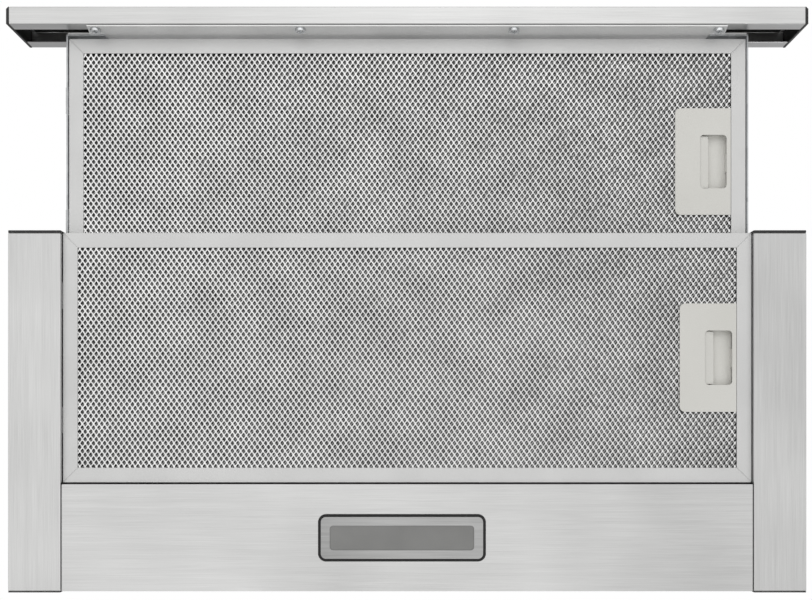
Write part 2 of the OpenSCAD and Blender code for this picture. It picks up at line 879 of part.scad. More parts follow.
// Slot that a latch bolt enters, in a tray rail or a side channel
module bolt_slot() {
  block([chan_x - over, chan_x + rail_t + 0.5], [-bolt_hw - 0.8, bolt_hw + 0.8], [bolt_z0 - bolt_gap, bolt_z1 + bolt_gap]);
}

// Slots that the pivot tabs enter
module tab_slots() {
  for (s = [-1, 1])
    block([-chan_x - rail_t - 0.5, -chan_x + over], [s * tab_y - tab_hw - 1, s * tab_y + tab_hw + 1],
      [skin - tab_slot_gap, skin - tab_slot_gap + tab_slot_h]);
}

module filter_frame() {
  hw = filter_w / 2;
  hd = filter_d / 2;
  difference() {
    block([-hw, hw], [-hd, hd], [0, filter_t]);
    block([-hw + face_w, hw - face_w], [-hd + face_w, hd - face_w], [-over, filter_t + over]);
    block([-hw + skin, hw - skin], [-hd + skin, hd - skin], [skin, filter_t - skin]);
    for (sx = [-1, 1], sy = [-1, 1], z = [0, filter_t])
      translate([sx * (hw - face_w / 2), sy * (hd - face_w / 2), z]) rotate([0, 0, sx * sy * 45])
        cube([face_w * 1.6, mitre_w, 2 * mitre_deep], center = true);
    block([hw - skin - over, hw + over], [-bolt_hw - bolt_gap, bolt_hw + bolt_gap],
      [bolt_z0 - bolt_gap, bolt_z1 + bolt_gap]);
    for (s = [-1, 1])
      block([-hw - over, -hw + skin + eps], [s * tab_y - tab_hw - tab_gap, s * tab_y + tab_hw + tab_gap],
        [skin, skin + tab_t + tab_gap]);
  }
}

module mesh_sheet(z0, z1) {
  difference() {
    block([-mesh_hw, mesh_hw], [-mesh_hd, mesh_hd], [z0, z1]);
    block([pocket_x0 - pocket_gap, mesh_hw + over], [-pocket_hl - pocket_gap, pocket_hl + pocket_gap],
      [z0 - over, z1 + over]);
  }
}

// The finer meshes behind the face: one close behind it and one at the back
module core_sheets() {
  front_z = skin + face_mesh_t + core_gap;
  mesh_sheet(front_z, front_z + face_mesh_t);
  mesh_sheet(filter_t - skin - face_mesh_t, filter_t - skin);
}

module latch_guide() {
  y0 = latch_hl + latch_gap;
  along_x(pocket_x0 + pocket_wall - eps, pocket_x1 - pocket_wall + eps) polygon([
    [y0 - 2.4, skin - eps], [y0 + 1.6, skin - eps], [y0 + 1.6, filter_t - skin],
    [y0 - 1.9, filter_t - skin], [y0 - 1.9, latch_z + latch_t + latch_gap],
    [y0, latch_z + latch_t + latch_gap], [y0, latch_z - latch_gap], [y0 - 2.4, latch_z - latch_gap],
  ]);
}

module handle_plate() {
  difference() {
    union() {
      block([plate_x0 + plate_r, plate_x1], [-plate_l / 2, plate_l / 2], [0, skin]);
      block([plate_x0, plate_x1], [-plate_l / 2 + plate_r, plate_l / 2 - plate_r], [0, skin]);
      for (s = [-1, 1])
        translate([plate_x0 + plate_r, s * (plate_l / 2 - plate_r), 0]) rod_z(plate_r, 0, skin);
      difference() {
        block([pocket_x0, pocket_x1], [-pocket_hl, pocket_hl], [skin - eps, filter_t - skin]);
        block([pocket_x0 + pocket_wall, pocket_x1 - pocket_wall],
          [-pocket_hl + pocket_wall, pocket_hl - pocket_wall], [-over, filter_t]);
      }
      latch_guide();
      mirror([0, 1, 0]) latch_guide();
    }
    translate([(recess_x0 + recess_x1) / 2, 0, 0])
      rounded_plate(recess_w, recess_l, recess_r, -over, skin + eps);
    block([pocket_x1 - pocket_wall - over, plate_x1 + over], [-bolt_hw - bolt_gap, bolt_hw + bolt_gap],
      [bolt_z0 - bolt_gap, bolt_z1 + bolt_gap]);
  }
}

module latch() {
  block([latch_x0, latch_x1], [-latch_hl, latch_hl], [latch_z, latch_z + latch_t]);
  block([latch_x0, latch_x0 + latch_tail], [-bolt_hw, bolt_hw], [2.4, latch_z + eps]);
  along_y(-recess_l / 2 + finger_end_gap, recess_l / 2 - finger_end_gap) polygon([
    [finger_x0, finger_z], [finger_x0 + finger_w, finger_z + finger_slope],
    [finger_x0 + finger_w, latch_z + eps], [finger_x0, latch_z + eps],
  ]);
  block([latch_x1 - latch_stem, latch_x1], [-bolt_hw, bolt_hw], [bolt_z0, latch_z + eps]);
  block([latch_x1 - latch_stem, bolt_x1], [-bolt_hw, bolt_hw], [bolt_z0, bolt_z1]);
}

// A coil from the pocket's left wall to the tail of the latch
spring_x0 = pocket_x0 + pocket_wall;
spring_l = latch_x0 - spring_x0;
spring_z = 4.4;
spring_rings = spring_turns * spring_steps;

function coil_point(i, k) =
  let (
    a = i * 360 / spring_steps,
    b = k * 360 / spring_sides,
    r = spring_r + spring_wire * cos(b),
    x = spring_wire + (spring_l - 2 * spring_wire) * i / spring_rings + spring_wire * sin(b)
  )
  [spring_x0 + x, r * cos(a), spring_z + r * sin(a)];

module latch_spring() {
  points = [for (i = [0 : spring_rings], k = [0 : spring_sides - 1]) coil_point(i, k)];
  n = spring_sides;
  last = spring_rings * n;
  faces = concat(
    [[for (k = [0 : n - 1]) k]],
    [for (i = [0 : spring_rings - 1], k = [0 : n - 1])
      [i * n + k, (i + 1) * n + k, (i + 1) * n + (k + 1) % n]],
    [for (i = [0 : spring_rings - 1], k = [0 : n - 1])
      [i * n + k, (i + 1) * n + (k + 1) % n, i * n + (k + 1) % n]],
    [[for (k = [n - 1 : -1 : 0]) last + k]]
  );
  polyhedron(points = points, faces = faces);
}

module filter_tabs() {
  for (s = [-1, 1])
    block([-filter_w / 2 - tab_out, -filter_w / 2 + tab_in], [s * tab_y - tab_hw, s * tab_y + tab_hw],
      [skin, skin + tab_t]);
}

module front_filter_frame() { color(aluminium) at_front_filter() filter_frame(); }
module front_face_mesh() { color(mesh_grey) at_front_filter() mesh_sheet(skin, skin + face_mesh_t); }
module front_core_mesh() { color(mesh_grey) at_front_filter() core_sheets(); }
module front_handle_plate() { color(handle_grey) at_front_filter() handle_plate(); }
module front_latch() { color(handle_grey) at_front_filter() latch(); }
module front_latch_spring() { color(steel) at_front_filter() latch_spring(); }
module front_filter_tabs() { color(aluminium) at_front_filter() filter_tabs(); }

module rear_filter_frame() { color(aluminium) at_rear_filter() filter_frame(); }
module rear_face_mesh() { color(mesh_grey) at_rear_filter() mesh_sheet(skin, skin + face_mesh_t); }
module rear_core_mesh() { color(mesh_grey) at_rear_filter() core_sheets(); }
module rear_handle_plate() { color(handle_grey) at_rear_filter() handle_plate(); }
module rear_latch() { color(handle_grey) at_rear_filter() latch(); }
module rear_latch_spring() { color(steel) at_rear_filter() latch_spring(); }
module rear_filter_tabs() { color(aluminium) at_rear_filter() filter_tabs(); }

housing_shell();
side_channel_left();
side_channel_right();
channel_end_caps();
rear_panel();
base_front_rail();
guide_channels();
glide_blocks();
stop_bumpers();
lamp_gasket();
lamp_bezel();
lamp_diffuser();
lamp_led_board();
lamp_driver();
scroll_left();
scroll_right();
inlet_guard();
motor_body();
motor_bracket();
run_capacitor();
terminal_box();
terminal_cover();
cable_gland();
outlet_collar();
damper_pin();
housing_screws();
front_bar();
bar_end_caps();
tray_front_member();
tray_rail_left();
tray_rail_right();
tray_rear_member();
runner_strips();
tray_shoes();
tray_screws();
control_board();
button_bezel();
light_button();
off_button();
low_button();
medium_button();
high_button();
front_filter_frame();
front_face_mesh();
front_core_mesh();
front_handle_plate();
front_latch();
front_latch_spring();
front_filter_tabs();
rear_filter_frame();
rear_face_mesh();
rear_core_mesh();
rear_handle_plate();
rear_latch();
rear_latch_spring();
rear_filter_tabs();
impeller();
motor_shaft();
damper_flap_front();
damper_flap_rear();
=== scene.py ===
# A slide-out range hood with its tray pulled out, seen from below.
import json
import math

import bmesh
import bpy
import numpy as np
from mathutils import Euler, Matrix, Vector


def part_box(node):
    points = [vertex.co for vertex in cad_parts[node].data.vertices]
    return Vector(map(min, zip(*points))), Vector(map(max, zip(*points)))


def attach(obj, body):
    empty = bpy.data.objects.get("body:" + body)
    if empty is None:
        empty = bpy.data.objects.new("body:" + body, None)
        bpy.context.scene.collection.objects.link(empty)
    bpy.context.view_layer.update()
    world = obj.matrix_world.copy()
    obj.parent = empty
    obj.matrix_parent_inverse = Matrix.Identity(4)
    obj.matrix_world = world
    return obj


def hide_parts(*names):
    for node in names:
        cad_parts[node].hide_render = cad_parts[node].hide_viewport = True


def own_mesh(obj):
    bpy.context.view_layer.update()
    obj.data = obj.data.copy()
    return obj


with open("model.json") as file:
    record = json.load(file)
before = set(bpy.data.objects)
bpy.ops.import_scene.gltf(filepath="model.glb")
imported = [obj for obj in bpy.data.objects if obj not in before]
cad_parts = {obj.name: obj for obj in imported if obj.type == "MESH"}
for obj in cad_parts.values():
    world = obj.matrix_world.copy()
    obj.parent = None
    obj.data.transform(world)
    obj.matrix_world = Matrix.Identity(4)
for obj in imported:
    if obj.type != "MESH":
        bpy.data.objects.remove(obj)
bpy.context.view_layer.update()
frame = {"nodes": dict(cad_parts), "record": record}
nodes = frame["nodes"]
scene = bpy.context.scene

MM = 0.001


# ---- Colours and materials ----

def linear(code):
    """A linear RGBA colour from an sRGB hex code."""
    parts = [int(code[i:i + 2], 16) / 255 for i in (1, 3, 5)]
    return [p / 12.92 if p <= 0.04045 else ((p + 0.055) / 1.055) ** 2.4 for p in parts] + [1.0]


def add(tree, kind, inputs=None, **settings):
    """A new node. inputs maps a socket's name or number to a value or to another node's output."""
    made = tree.nodes.new("ShaderNode" + kind)
    for name, value in settings.items():
        setattr(made, name, value)
    for name, value in (inputs or {}).items():
        if isinstance(value, bpy.types.NodeSocket):
            tree.links.new(value, made.inputs[name])
        else:
            made.inputs[name].default_value = value
    return made


def start_material(name, **shader):
    """A material with one Principled shader. Returns the material, its tree and the shader."""
    material = bpy.data.materials.new(name)
    material.use_nodes = True
    tree = material.node_tree
    tree.nodes.clear()
    surface = add(tree, "BsdfPrincipled", shader)
    add(tree, "OutputMaterial", {"Surface": surface.outputs["BSDF"]})
    return material, tree, surface


def finish_surface(tree, surface, shade, tooth, light, dark, gloss, relief):
    """Wires a surface: shade (0 to 1) picks its colour, tooth varies its roughness and stands up.

    gloss is the roughness at tooth's low and high ends, and relief the bump's (strength, height).
    """
    colour = add(tree, "Mix", {0: shade, 6: linear(dark), 7: linear(light)}, data_type="RGBA")
    rough = add(tree, "MapRange", {"Value": tooth, "From Min": 0.3, "From Max": 0.7,
                                   "To Min": gloss[0], "To Max": gloss[1]})
    raised = add(tree, "Bump", {"Height": tooth, "Strength": relief[0], "Distance": relief[1]})
    tree.links.new(colour.outputs[2], surface.inputs["Base Color"])
    tree.links.new(rough.outputs["Result"], surface.inputs["Roughness"])
    tree.links.new(raised.outputs["Normal"], surface.inputs["Normal"])


# Real scratches are about 0.05 mm wide. These are drawn 0.5 mm wide, so that they show.
SCRATCH_WIDE, SCRATCH_LONG = 0.5 * MM, 45 * MM
BAND_WIDE, BAND_LONG = 3 * MM, 200 * MM
STEEL_CLOUD = 140 * MM    # soft lighter and darker patches
SPANGLE = 9 * MM          # a zinc crystal
ZINC_CLOUD = 55 * MM
AXIS_X, AXIS_Y = 0, 1


def brushed_stainless(name, along, light, dark, rough=0.32):
    """Stainless sheet, belt-brushed along one axis: long fine scratches that blur what it mirrors."""
    material, tree, surface = start_material(name, Metallic=1.0, Roughness=rough)
    spot = add(tree, "TexCoord").outputs["Object"]
    scratch = [1 / SCRATCH_WIDE] * 3
    scratch[along] = 1 / SCRATCH_LONG
    band = [1 / BAND_WIDE] * 3
    band[along] = 1 / BAND_LONG
    fine = add(tree, "TexNoise", {
        "Vector": add(tree, "Mapping", {"Vector": spot, "Scale": scratch}).outputs["Vector"],
        "Scale": 1.0, "Detail": 5.0, "Roughness": 0.65}).outputs["Fac"]
    broad = add(tree, "TexNoise", {
        "Vector": add(tree, "Mapping", {"Vector": spot, "Scale": band}).outputs["Vector"],
        "Scale": 1.0, "Detail": 2.0}).outputs["Fac"]
    cloud = add(tree, "TexNoise", {
        "Vector": spot, "Scale": 1 / STEEL_CLOUD, "Detail": 2.0}).outputs["Fac"]
    lines = add(tree, "Math", {0: broad, 1: 0.3, 2: fine}, operation="MULTIPLY_ADD").outputs["Value"]
    total = add(tree, "Math", {0: lines, 1: cloud}, operation="ADD").outputs["Value"]
    shade = add(tree, "MapRange", {
        "Value": total, "From Min": 0.8, "From Max": 1.5}).outputs["Result"]
    finish_surface(tree, surface, shade, fine, light, dark,
                   gloss=(rough - 0.05, rough + 0.06), relief=(0.16, 0.02 * MM))
    return material


def galvanised_steel():
    """Hot-dip galvanised sheet: dull blue-grey, with faint crystal spangles of about 9 mm."""
    material, tree, surface = start_material("galvanised_steel_sheet", Metallic=0.85, Roughness=0.5)
    spot = add(tree, "TexCoord").outputs["Object"]
    spangle = add(tree, "TexVoronoi", {"Vector": spot, "Scale": 1 / SPANGLE}, feature="F1")
    tone = add(tree, "SeparateColor", {"Color": spangle.outputs["Color"]}).outputs[0]
    cloud = add(tree, "TexNoise", {
        "Vector": spot, "Scale": 1 / ZINC_CLOUD, "Detail": 3.0}).outputs["Fac"]
    both = add(tree, "Math", {0: tone, 1: cloud}, operation="ADD").outputs["Value"]
    shade = add(tree, "MapRange", {
        "Value": both, "From Min": 0.3, "From Max": 1.6}).outputs["Result"]
    finish_surface(tree, surface, shade, cloud, "#BEC0C2", "#A2A4A6",
                   gloss=(0.42, 0.56), relief=(0.2, 0.1 * MM))
    return material


def grained(name, light, dark, rough, grain_mm, relief, metal=0.0, patch_mm=70):
    """A moulded, etched, plated or rolled surface: even, with a fine grain in broad soft patches."""
    material, tree, surface = start_material(name, Metallic=metal, Roughness=rough)
    spot = add(tree, "TexCoord").outputs["Object"]
    grain = add(tree, "TexNoise", {
        "Vector": spot, "Scale": 1 / (grain_mm * MM), "Detail": 3.0}).outputs["Fac"]
    patch = add(tree, "TexNoise", {
        "Vector": spot, "Scale": 1 / (patch_mm * MM), "Detail": 2.0}).outputs["Fac"]
    both = add(tree, "Math", {0: grain, 1: patch}, operation="ADD").outputs["Value"]
    shade = add(tree, "MapRange", {
        "Value": both, "From Min": 0.65, "From Max": 1.35}).outputs["Result"]
    finish_surface(tree, surface, shade, grain, light, dark,
                   gloss=(rough - 0.06, rough + 0.08), relief=(relief, 0.06 * MM))
    return material


# Brushed stainless sheet. The grain runs along the bar and the panel, and from front to back on the
# channels, so that each catches the light across its scratches.
STEEL_LIGHT, STEEL_DARK = "#D2D2D2", "#B2B2B2"
steel_across = brushed_stainless("stainless_brushed_across", AXIS_X, STEEL_LIGHT, STEEL_DARK)
steel_front_to_back = brushed_stainless("stainless_brushed_front_to_back", AXIS_Y,
                                        STEEL_LIGHT, STEEL_DARK)
# The lamp's bezel has a coarser, darker brush.
steel_bezel = brushed_stainless("stainless_brushed_lamp_bezel", AXIS_X, "#B4B4B4", "#808080",
                                rough=0.36)
galvanised = galvanised_steel()
# Galvanised sheet under a pale baked primer: matt, with hardly any metal in its shine.
primed = grained("steel_sheet_primed_pale", "#F0F0F0", "#DCDCDC",
                 rough=0.45, grain_mm=0.7, relief=0.12, metal=0.2, patch_mm=35)
# Etched aluminium profile: an even pale grey with a fine tooth.
aluminium = grained("aluminium_profile_etched", "#D4D4D4", "#C8C8C8",
                    rough=0.5, grain_mm=0.6, relief=0.12, metal=0.75, patch_mm=45)
# Expanded aluminium mesh: bright rolled strands in front. The mesh behind is painted darker, as
# painted shade, and the crumpled foil in the middle is painted dark grey, as painted shade in the
# openings.
mesh_face = grained("aluminium_mesh_expanded_bright", "#ECECEC", "#D0D0D0",
                    rough=0.3, grain_mm=2.6, relief=0.3, metal=1.0, patch_mm=30)
mesh_inner_shaded = grained("aluminium_mesh_expanded_shaded", "#B8B8B8", "#909090",
                     rough=0.42, grain_mm=2.6, relief=0.3, metal=1.0, patch_mm=30)
mesh_core_shade = grained("aluminium_foil_painted_shade", "#848484", "#4C4C4C",
                    rough=0.5, grain_mm=2.6, relief=0.3, metal=1.0, patch_mm=30)
# Injection-moulded plastics: a fine spark-eroded texture softens their highlights.
grey_abs = grained("abs_moulded_warm_grey", "#D6D5D1", "#CDCCC7",
                   rough=0.5, grain_mm=0.8, relief=0.1)
black_abs = grained("abs_moulded_black", "#1D1D1D", "#121212", rough=0.45, grain_mm=0.8, relief=0.2)
# Black wool felt: deep black, with no gloss and a coarse nap. Its black paints the shade inside the
# hollow bar.
shade_felt = grained("felt_black_painted_shade", "#0E0E0E", "#060606", rough=0.9, grain_mm=1.4, relief=0.5)
# Moulded rubber: black and dull, with a soft broad sheen.
rubber = grained("rubber_moulded_black", "#161616", "#0C0C0C", rough=0.7, grain_mm=1.0, relief=0.25)
# Moulded nylon and polypropylene: a smooth, slightly waxy sheen.
nylon = grained("nylon_moulded_white", "#E9E8E2", "#DEDDD6", rough=0.4, grain_mm=1.2, relief=0.08)
dark_poly = grained("polypropylene_moulded_dark", "#3A3A3B", "#2B2B2C",
                    rough=0.5, grain_mm=1.0, relief=0.2)
pale_poly = grained("polypropylene_moulded_pale", "#E4E3DF", "#D6D5D0",
                    rough=0.45, grain_mm=1.0, relief=0.1)
# Frosted acrylic over an unlit lamp: an even mid grey with a soft satin gloss.
diffuser = grained("acrylic_frosted_diffuser", "#828281", "#767675",
                   rough=0.42, grain_mm=0.5, relief=0.15, patch_mm=25)
# Solder mask over glass fibre: glossy green with a faint weave.
solder_mask = grained("fibreglass_green_solder_mask", "#2E6B3F", "#1F5230",
                      rough=0.35, grain_mm=1.6, relief=0.1)
# Enamel on a drawn steel can: an even grey satin.
motor_can = grained("steel_can_grey_enamel", "#8E9092", "#7C7E80",
                    rough=0.4, grain_mm=1.5, relief=0.15)
# Bright zinc plating: shiny and slightly blue, with tiny tool marks.
zinc = grained("steel_zinc_plated", "#DCDEE0", "#B4B6B8",
               rough=0.25, grain_mm=0.8, relief=0.2, metal=1.0)

SLOT_MATERIALS = {
    "brushed_stainless": steel_across, "galvanised_steel": galvanised, "satin_aluminium": aluminium,
    "mesh_aluminium": mesh_face, "grey_abs": grey_abs, "black_abs": black_abs,
    "black_rubber": rubber, "white_nylon": nylon, "frosted_acrylic": diffuser,
    "circuit_board": solder_mask, "dark_polypropylene": dark_poly, "zinc_screws": zinc,
    "spring_steel": zinc, "motor_steel": motor_can, "capacitor_case": pale_poly,
}
OWN_MATERIALS = {
    "side_channel_left": steel_front_to_back, "side_channel_right": steel_front_to_back,
    "lamp_bezel": steel_bezel, "tray_front_member": primed,
}


# ---- Pieces ----

def dress(obj, material):
    """Gives an object one material and no other."""
    obj.data.materials.clear()
    obj.data.materials.append(material)


def show(name, mesh, material):
    """Puts a mesh in the scene as an object of one material."""
    obj = bpy.data.objects.new(name, mesh)
    scene.collection.objects.link(obj)
    dress(obj, material)
    return obj


def piece(name, mesh, material, body):
    """A visible piece of one material that rides on a body."""
    obj = show(name, mesh, material)
    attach(obj, body)
    return obj


def plain_mesh(name, verts, faces):
    mesh = bpy.data.meshes.new(name)
    mesh.from_pydata([tuple(v) for v in verts], [], faces)
    return mesh


def closed_mesh(name, verts, faces):
    """A mesh of closed shells, with every face turned outwards."""
    mesh = plain_mesh(name, verts, faces)
    mesh.validate()
    work = bmesh.new()
    work.from_mesh(mesh)
    bmesh.ops.recalc_face_normals(work, faces=work.faces)
    work.to_mesh(mesh)
    work.free()
    return mesh


def prism(count):
    """The quads that join one ring of count corners to the next, with no ends."""
    return [(i, (i + 1) % count, (i + 1) % count + count, i + count) for i in range(count)]


# ---- CAD nodes: materials and softened edges ----

WELD_GAP = 0.01 * MM
SHARP = 30                # degrees: flatter edges than this stay as they are


def soften(obj, radius):
    """Rounds the edges of a CAD node with modifiers, its own mesh unchanged."""
    custom = obj.data.attributes.get("custom_normal")
    if custom:
        obj.data.attributes.remove(custom)
    weld = obj.modifiers.new("weld", "WELD")
    weld.merge_threshold = WELD_GAP
    bevel = obj.modifiers.new("edge", "BEVEL")
    bevel.width = radius
    bevel.segments = 2
    bevel.limit_method = "ANGLE"
    bevel.angle_limit = math.radians(SHARP)
    bevel.harden_normals = True
    obj.data.shade_smooth()


# The radius of each node's edges in millimetres
SOFT_EDGES = {
    "front_bar": 0.6, "side_channel_left": 0.7, "side_channel_right": 0.7, "rear_panel": 0.7,
    "bar_end_caps": 0.4, "channel_end_caps": 0.4, "lamp_bezel": 0.3, "lamp_gasket": 0.3,
    "lamp_diffuser": 0.15, "outlet_collar": 0.4,
    "front_handle_plate": 0.2, "rear_handle_plate": 0.2, "front_latch": 0.3, "rear_latch": 0.3,
    "tray_screws": 0.2, "housing_screws": 0.3, "button_bezel": 0.15,
    "front_filter_frame": 0.12, "rear_filter_frame": 0.12,
}

slots = {part["node"]: part["material_slot"] for part in frame["record"]["subparts"]}
for name, obj in nodes.items():
    dress(obj, OWN_MATERIALS.get(name, SLOT_MATERIALS[slots[name]]))
    if name in SOFT_EDGES:
        soften(obj, SOFT_EDGES[name] * MM)


# ---- Expanded mesh ----

PITCH_X = 4.18 * MM       # across the diamonds
PITCH_Y = 5.85 * MM       # along the diamonds
# How far a pressed sheet strays from its lattice: standard deviations.
STRAY_FLAT = 0.05 * MM
STRAY_UP = 0.03 * MM
STRAY_ROLL = 4            # degrees
# A bond pad leans a little in front, and is smaller and flatter behind.
PAD_TIP = 0.036 * MM
PAD_LEAN = 0.03 * MM
PAD_BACK_SIZE = 0.8
PAD_BACK_RISE = 0.6


def expanded_sheet(name, low, high, z, hole, strand, bond, roll, shift, material, body, seed,
                   facing=-1):
    """A sheet of slit and stretched foil: strands on the diagonals, a bond pad at each crossing.

    low and high are its corners in X and Y, z its middle, hole a box (x0, x1, y0, y1) left free.
    strand is (width, thickness), bond (width, length, rise), and roll the strands' tilt in degrees.
    shift moves the lattice by shares of its pitch, and facing is the side the pads bulge to.
    """
    rng = np.random.default_rng(seed)
    columns = int((high[0] - low[0]) / PITCH_X)
    rows = int((high[1] - low[1]) / (PITCH_Y / 2))
    start_x = (low[0] + high[0] - columns * PITCH_X) / 2 + shift[0] * PITCH_X
    start_y = (low[1] + high[1] - rows * PITCH_Y / 2) / 2 + shift[1] * PITCH_Y
    points = {}
    for j in range(rows + 1):
        for i in range(columns + 1):
            x = start_x + (i + 0.5 * (j % 2)) * PITCH_X
            y = start_y + j * PITCH_Y / 2
            inside = low[0] <= x <= high[0] and low[1] <= y <= high[1]
            if inside and not (hole[0] < x < hole[1] and hole[2] < y < hole[3]):
                points[(i, j)] = (x, y)
    wobble = {key: rng.normal(0, 1, 3) for key in points}
    verts, faces = [], []

    def centre(key):
        x, y = points[key]
        w = wobble[key]
        return np.array([x + w[0] * STRAY_FLAT, y + w[1] * STRAY_FLAT, z + w[2] * STRAY_UP])

    for key in points:
        i, j = key
        for step in (0, 1):
            other = (i + step - (1 - j % 2), j + 1)
            if other not in points:
                continue
            a, b = centre(key), centre(other)
            direction = (b - a) / np.linalg.norm(b - a)
            side = np.cross(direction, (0, 0, 1.0))
            side /= np.linalg.norm(side)
            if side[0] < 0:
                side = -side
            tilt = math.radians(roll + rng.normal(0, STRAY_ROLL))
            up = np.array([0, 0, 1.0])
            broad = side * math.cos(tilt) + up * math.sin(tilt)
            thin = -side * math.sin(tilt) + up * math.cos(tilt)
            w, t = strand[0] / 2, strand[1] / 2
            first = len(verts)
            for end in (a, b):
                for u, v in ((-1, -1), (1, -1), (1, 1), (-1, 1)):
                    verts.append(end + broad * w * u + thin * t * v)
            faces += [tuple(first + k for k in quad) for quad in prism(4)]
    for key in points:
        c = centre(key)
        half_w, half_l, rise = bond[0] / 2, bond[1] / 2, bond[2]
        first = len(verts)
        tip = wobble[key][0] * PAD_TIP
        sides = ((facing * rise, 1.0, 1.0), (-facing * rise * PAD_BACK_RISE, PAD_BACK_SIZE, 0.0))
        for level, size, lean in sides:
            for u, v in ((-1, 0), (0, -1), (1, 0), (0, 1)):
                verts.append(c + np.array([u * half_w * size, v * half_l * size,
                                           level + (u * tip + v * PAD_LEAN) * lean]))
        faces += [tuple(first + k for k in quad) for quad in prism(4)]
        faces += [tuple(first + k for k in end) for end in ((3, 2, 1, 0), (4, 5, 6, 7))]
    return piece(name, closed_mesh(name, verts, faces), material, body)


CORE_STEP = 3.5 * MM
CORE_RELIEF = 0.7 * MM
CORE_THICK = 0.15 * MM
CORE_SEED = 5


def core_sheet(name, low, high, z, hole, material, body):
    """The crumpled foil pack between the meshes: a thin sheet with a random relief."""
    columns = round((high[0] - low[0]) / CORE_STEP)
    rows = round((high[1] - low[1]) / CORE_STEP)
    rng = np.random.default_rng(CORE_SEED)
    xs = np.linspace(low[0], high[0], columns + 1)
    ys = np.linspace(low[1], high[1], rows + 1)
    heights = rng.uniform(-CORE_RELIEF, CORE_RELIEF, (columns + 1, rows + 1))
    verts = [(x, y, z + heights[i, j]) for i, x in enumerate(xs) for j, y in enumerate(ys)]
    faces = []
    for i in range(columns):
        for j in range(rows):
            x, y = (xs[i] + xs[i + 1]) / 2, (ys[j] + ys[j + 1]) / 2
            if hole[0] < x < hole[1] and hole[2] < y < hole[3]:
                continue
            a = i * (rows + 1) + j
            faces.append((a, a + rows + 1, a + rows + 2, a + 1))
    obj = piece(name, plain_mesh(name, verts, faces), material, body)
    obj.modifiers.new("thickness", "SOLIDIFY").thickness = CORE_THICK


SHEET_EDGE = 2.5 * MM     # from the edge of the CAD sheet to the lattice
PLATE_CLEAR = 1.2 * MM    # the mesh runs this far over the edge of a handle plate
INNER_UP = 1.5 * MM       # from the front mesh up to the second one
CORE_UP = 3.4 * MM        # from the front mesh up to the foil
BACK_DOWN = 0.5 * MM      # from the top of the pack down to the back mesh

for which, seed in (("front", 11), ("rear", 23)):
    body = which + "_filter"
    face_low, face_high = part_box(which + "_face_mesh")
    core_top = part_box(which + "_core_mesh")[1][2]
    plate_low, plate_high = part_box(which + "_handle_plate")
    low = (face_low[0] + SHEET_EDGE, face_low[1] + SHEET_EDGE)
    high = (face_high[0] - SHEET_EDGE, face_high[1] - SHEET_EDGE)
    beyond = high[0] + SHEET_EDGE
    hole = (plate_low[0] + PLATE_CLEAR, beyond,
            plate_low[1] + PLATE_CLEAR, plate_high[1] - PLATE_CLEAR)
    face_z = (face_low[2] + face_high[2]) / 2
    face = expanded_sheet(
        which + "_expanded_face", low, high, face_z, hole,
        strand=(0.74 * MM, 0.3 * MM), bond=(1.7 * MM, 2.7 * MM, 0.26 * MM), roll=17, shift=(0, 0),
        material=mesh_face, body=body, seed=seed)
    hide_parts(which + "_face_mesh")
    # The second mesh and the foil take darker copies of the aluminium: painted shade deeper in the
    # filter.
    inner = expanded_sheet(
        which + "_expanded_inner", low, high, face_z + INNER_UP, hole,
        strand=(0.8 * MM, 0.3 * MM), bond=(1.4 * MM, 2.2 * MM, 0.25 * MM), roll=-20,
        shift=(0.31, 0.22), material=mesh_inner_shaded, body=body, seed=seed + 1)
    core_sheet(which + "_foil_core", low, high, face_z + CORE_UP, hole, mesh_core_shade, body)
    expanded_sheet(
        which + "_expanded_back", low, high, core_top - BACK_DOWN, hole,
        strand=(0.62 * MM, 0.3 * MM), bond=(1.5 * MM, 2.5 * MM, 0.26 * MM), roll=17, shift=(0, 0),
        material=mesh_face, body=body, seed=seed + 2, facing=1)
    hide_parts(which + "_core_mesh")


# ---- Black felt inside the front bar: painted shade ----

FELT_STEP = 3 * MM
FELT_SEED = 7
# Shares of the felt's thickness: at its pressed edge, on its face, and how far the nap rises there.
FELT_EDGE, FELT_FACE, FELT_NAP = 0.35, 0.9, 0.1


def shade_felt_strip(name, x0, x1, y0, z0, z1, thick):
    """A black felt strip glued inside the bar's front: a dark sheet that paints the shade in the
    hollow bar.
    """
    columns = max(2, round((x1 - x0) / FELT_STEP))
    rows = max(2, round((z1 - z0) / FELT_STEP))
    rng = np.random.default_rng(FELT_SEED)
    xs, zs = np.linspace(x0, x1, columns + 1), np.linspace(z0, z1, rows + 1)
    verts = []
    for i, x in enumerate(xs):
        for j, z in enumerate(zs):
            edge = i in (0, columns) or j in (0, rows)
            height = (FELT_EDGE if edge else FELT_FACE) + rng.uniform(0, FELT_NAP)
            verts.append((x, y0 + thick * height, z))
    verts += [(v[0], y0, v[2]) for v in verts]
    back = len(verts) // 2
    faces = []
    for i in range(columns):
        for j in range(rows):
            a = i * (rows + 1) + j
            quad = (a, a + 1, a + rows + 2, a + rows + 1)
            faces += [quad, tuple(back + k for k in reversed(quad))]
    rim = list(range(rows + 1)) + [i * (rows + 1) + rows for i in range(1, columns + 1)]
    rim += [columns * (rows + 1) + j for j in range(rows - 1, -1, -1)]
    rim += [i * (rows + 1) for i in range(columns - 1, 0, -1)]
    for a, b in zip(rim, rim[1:] + rim[:1]):
        faces.append((a, a + back, b + back, b))
    mesh = closed_mesh(name, verts, faces)
    mesh.shade_smooth()
    piece(name, mesh, shade_felt, "tray")


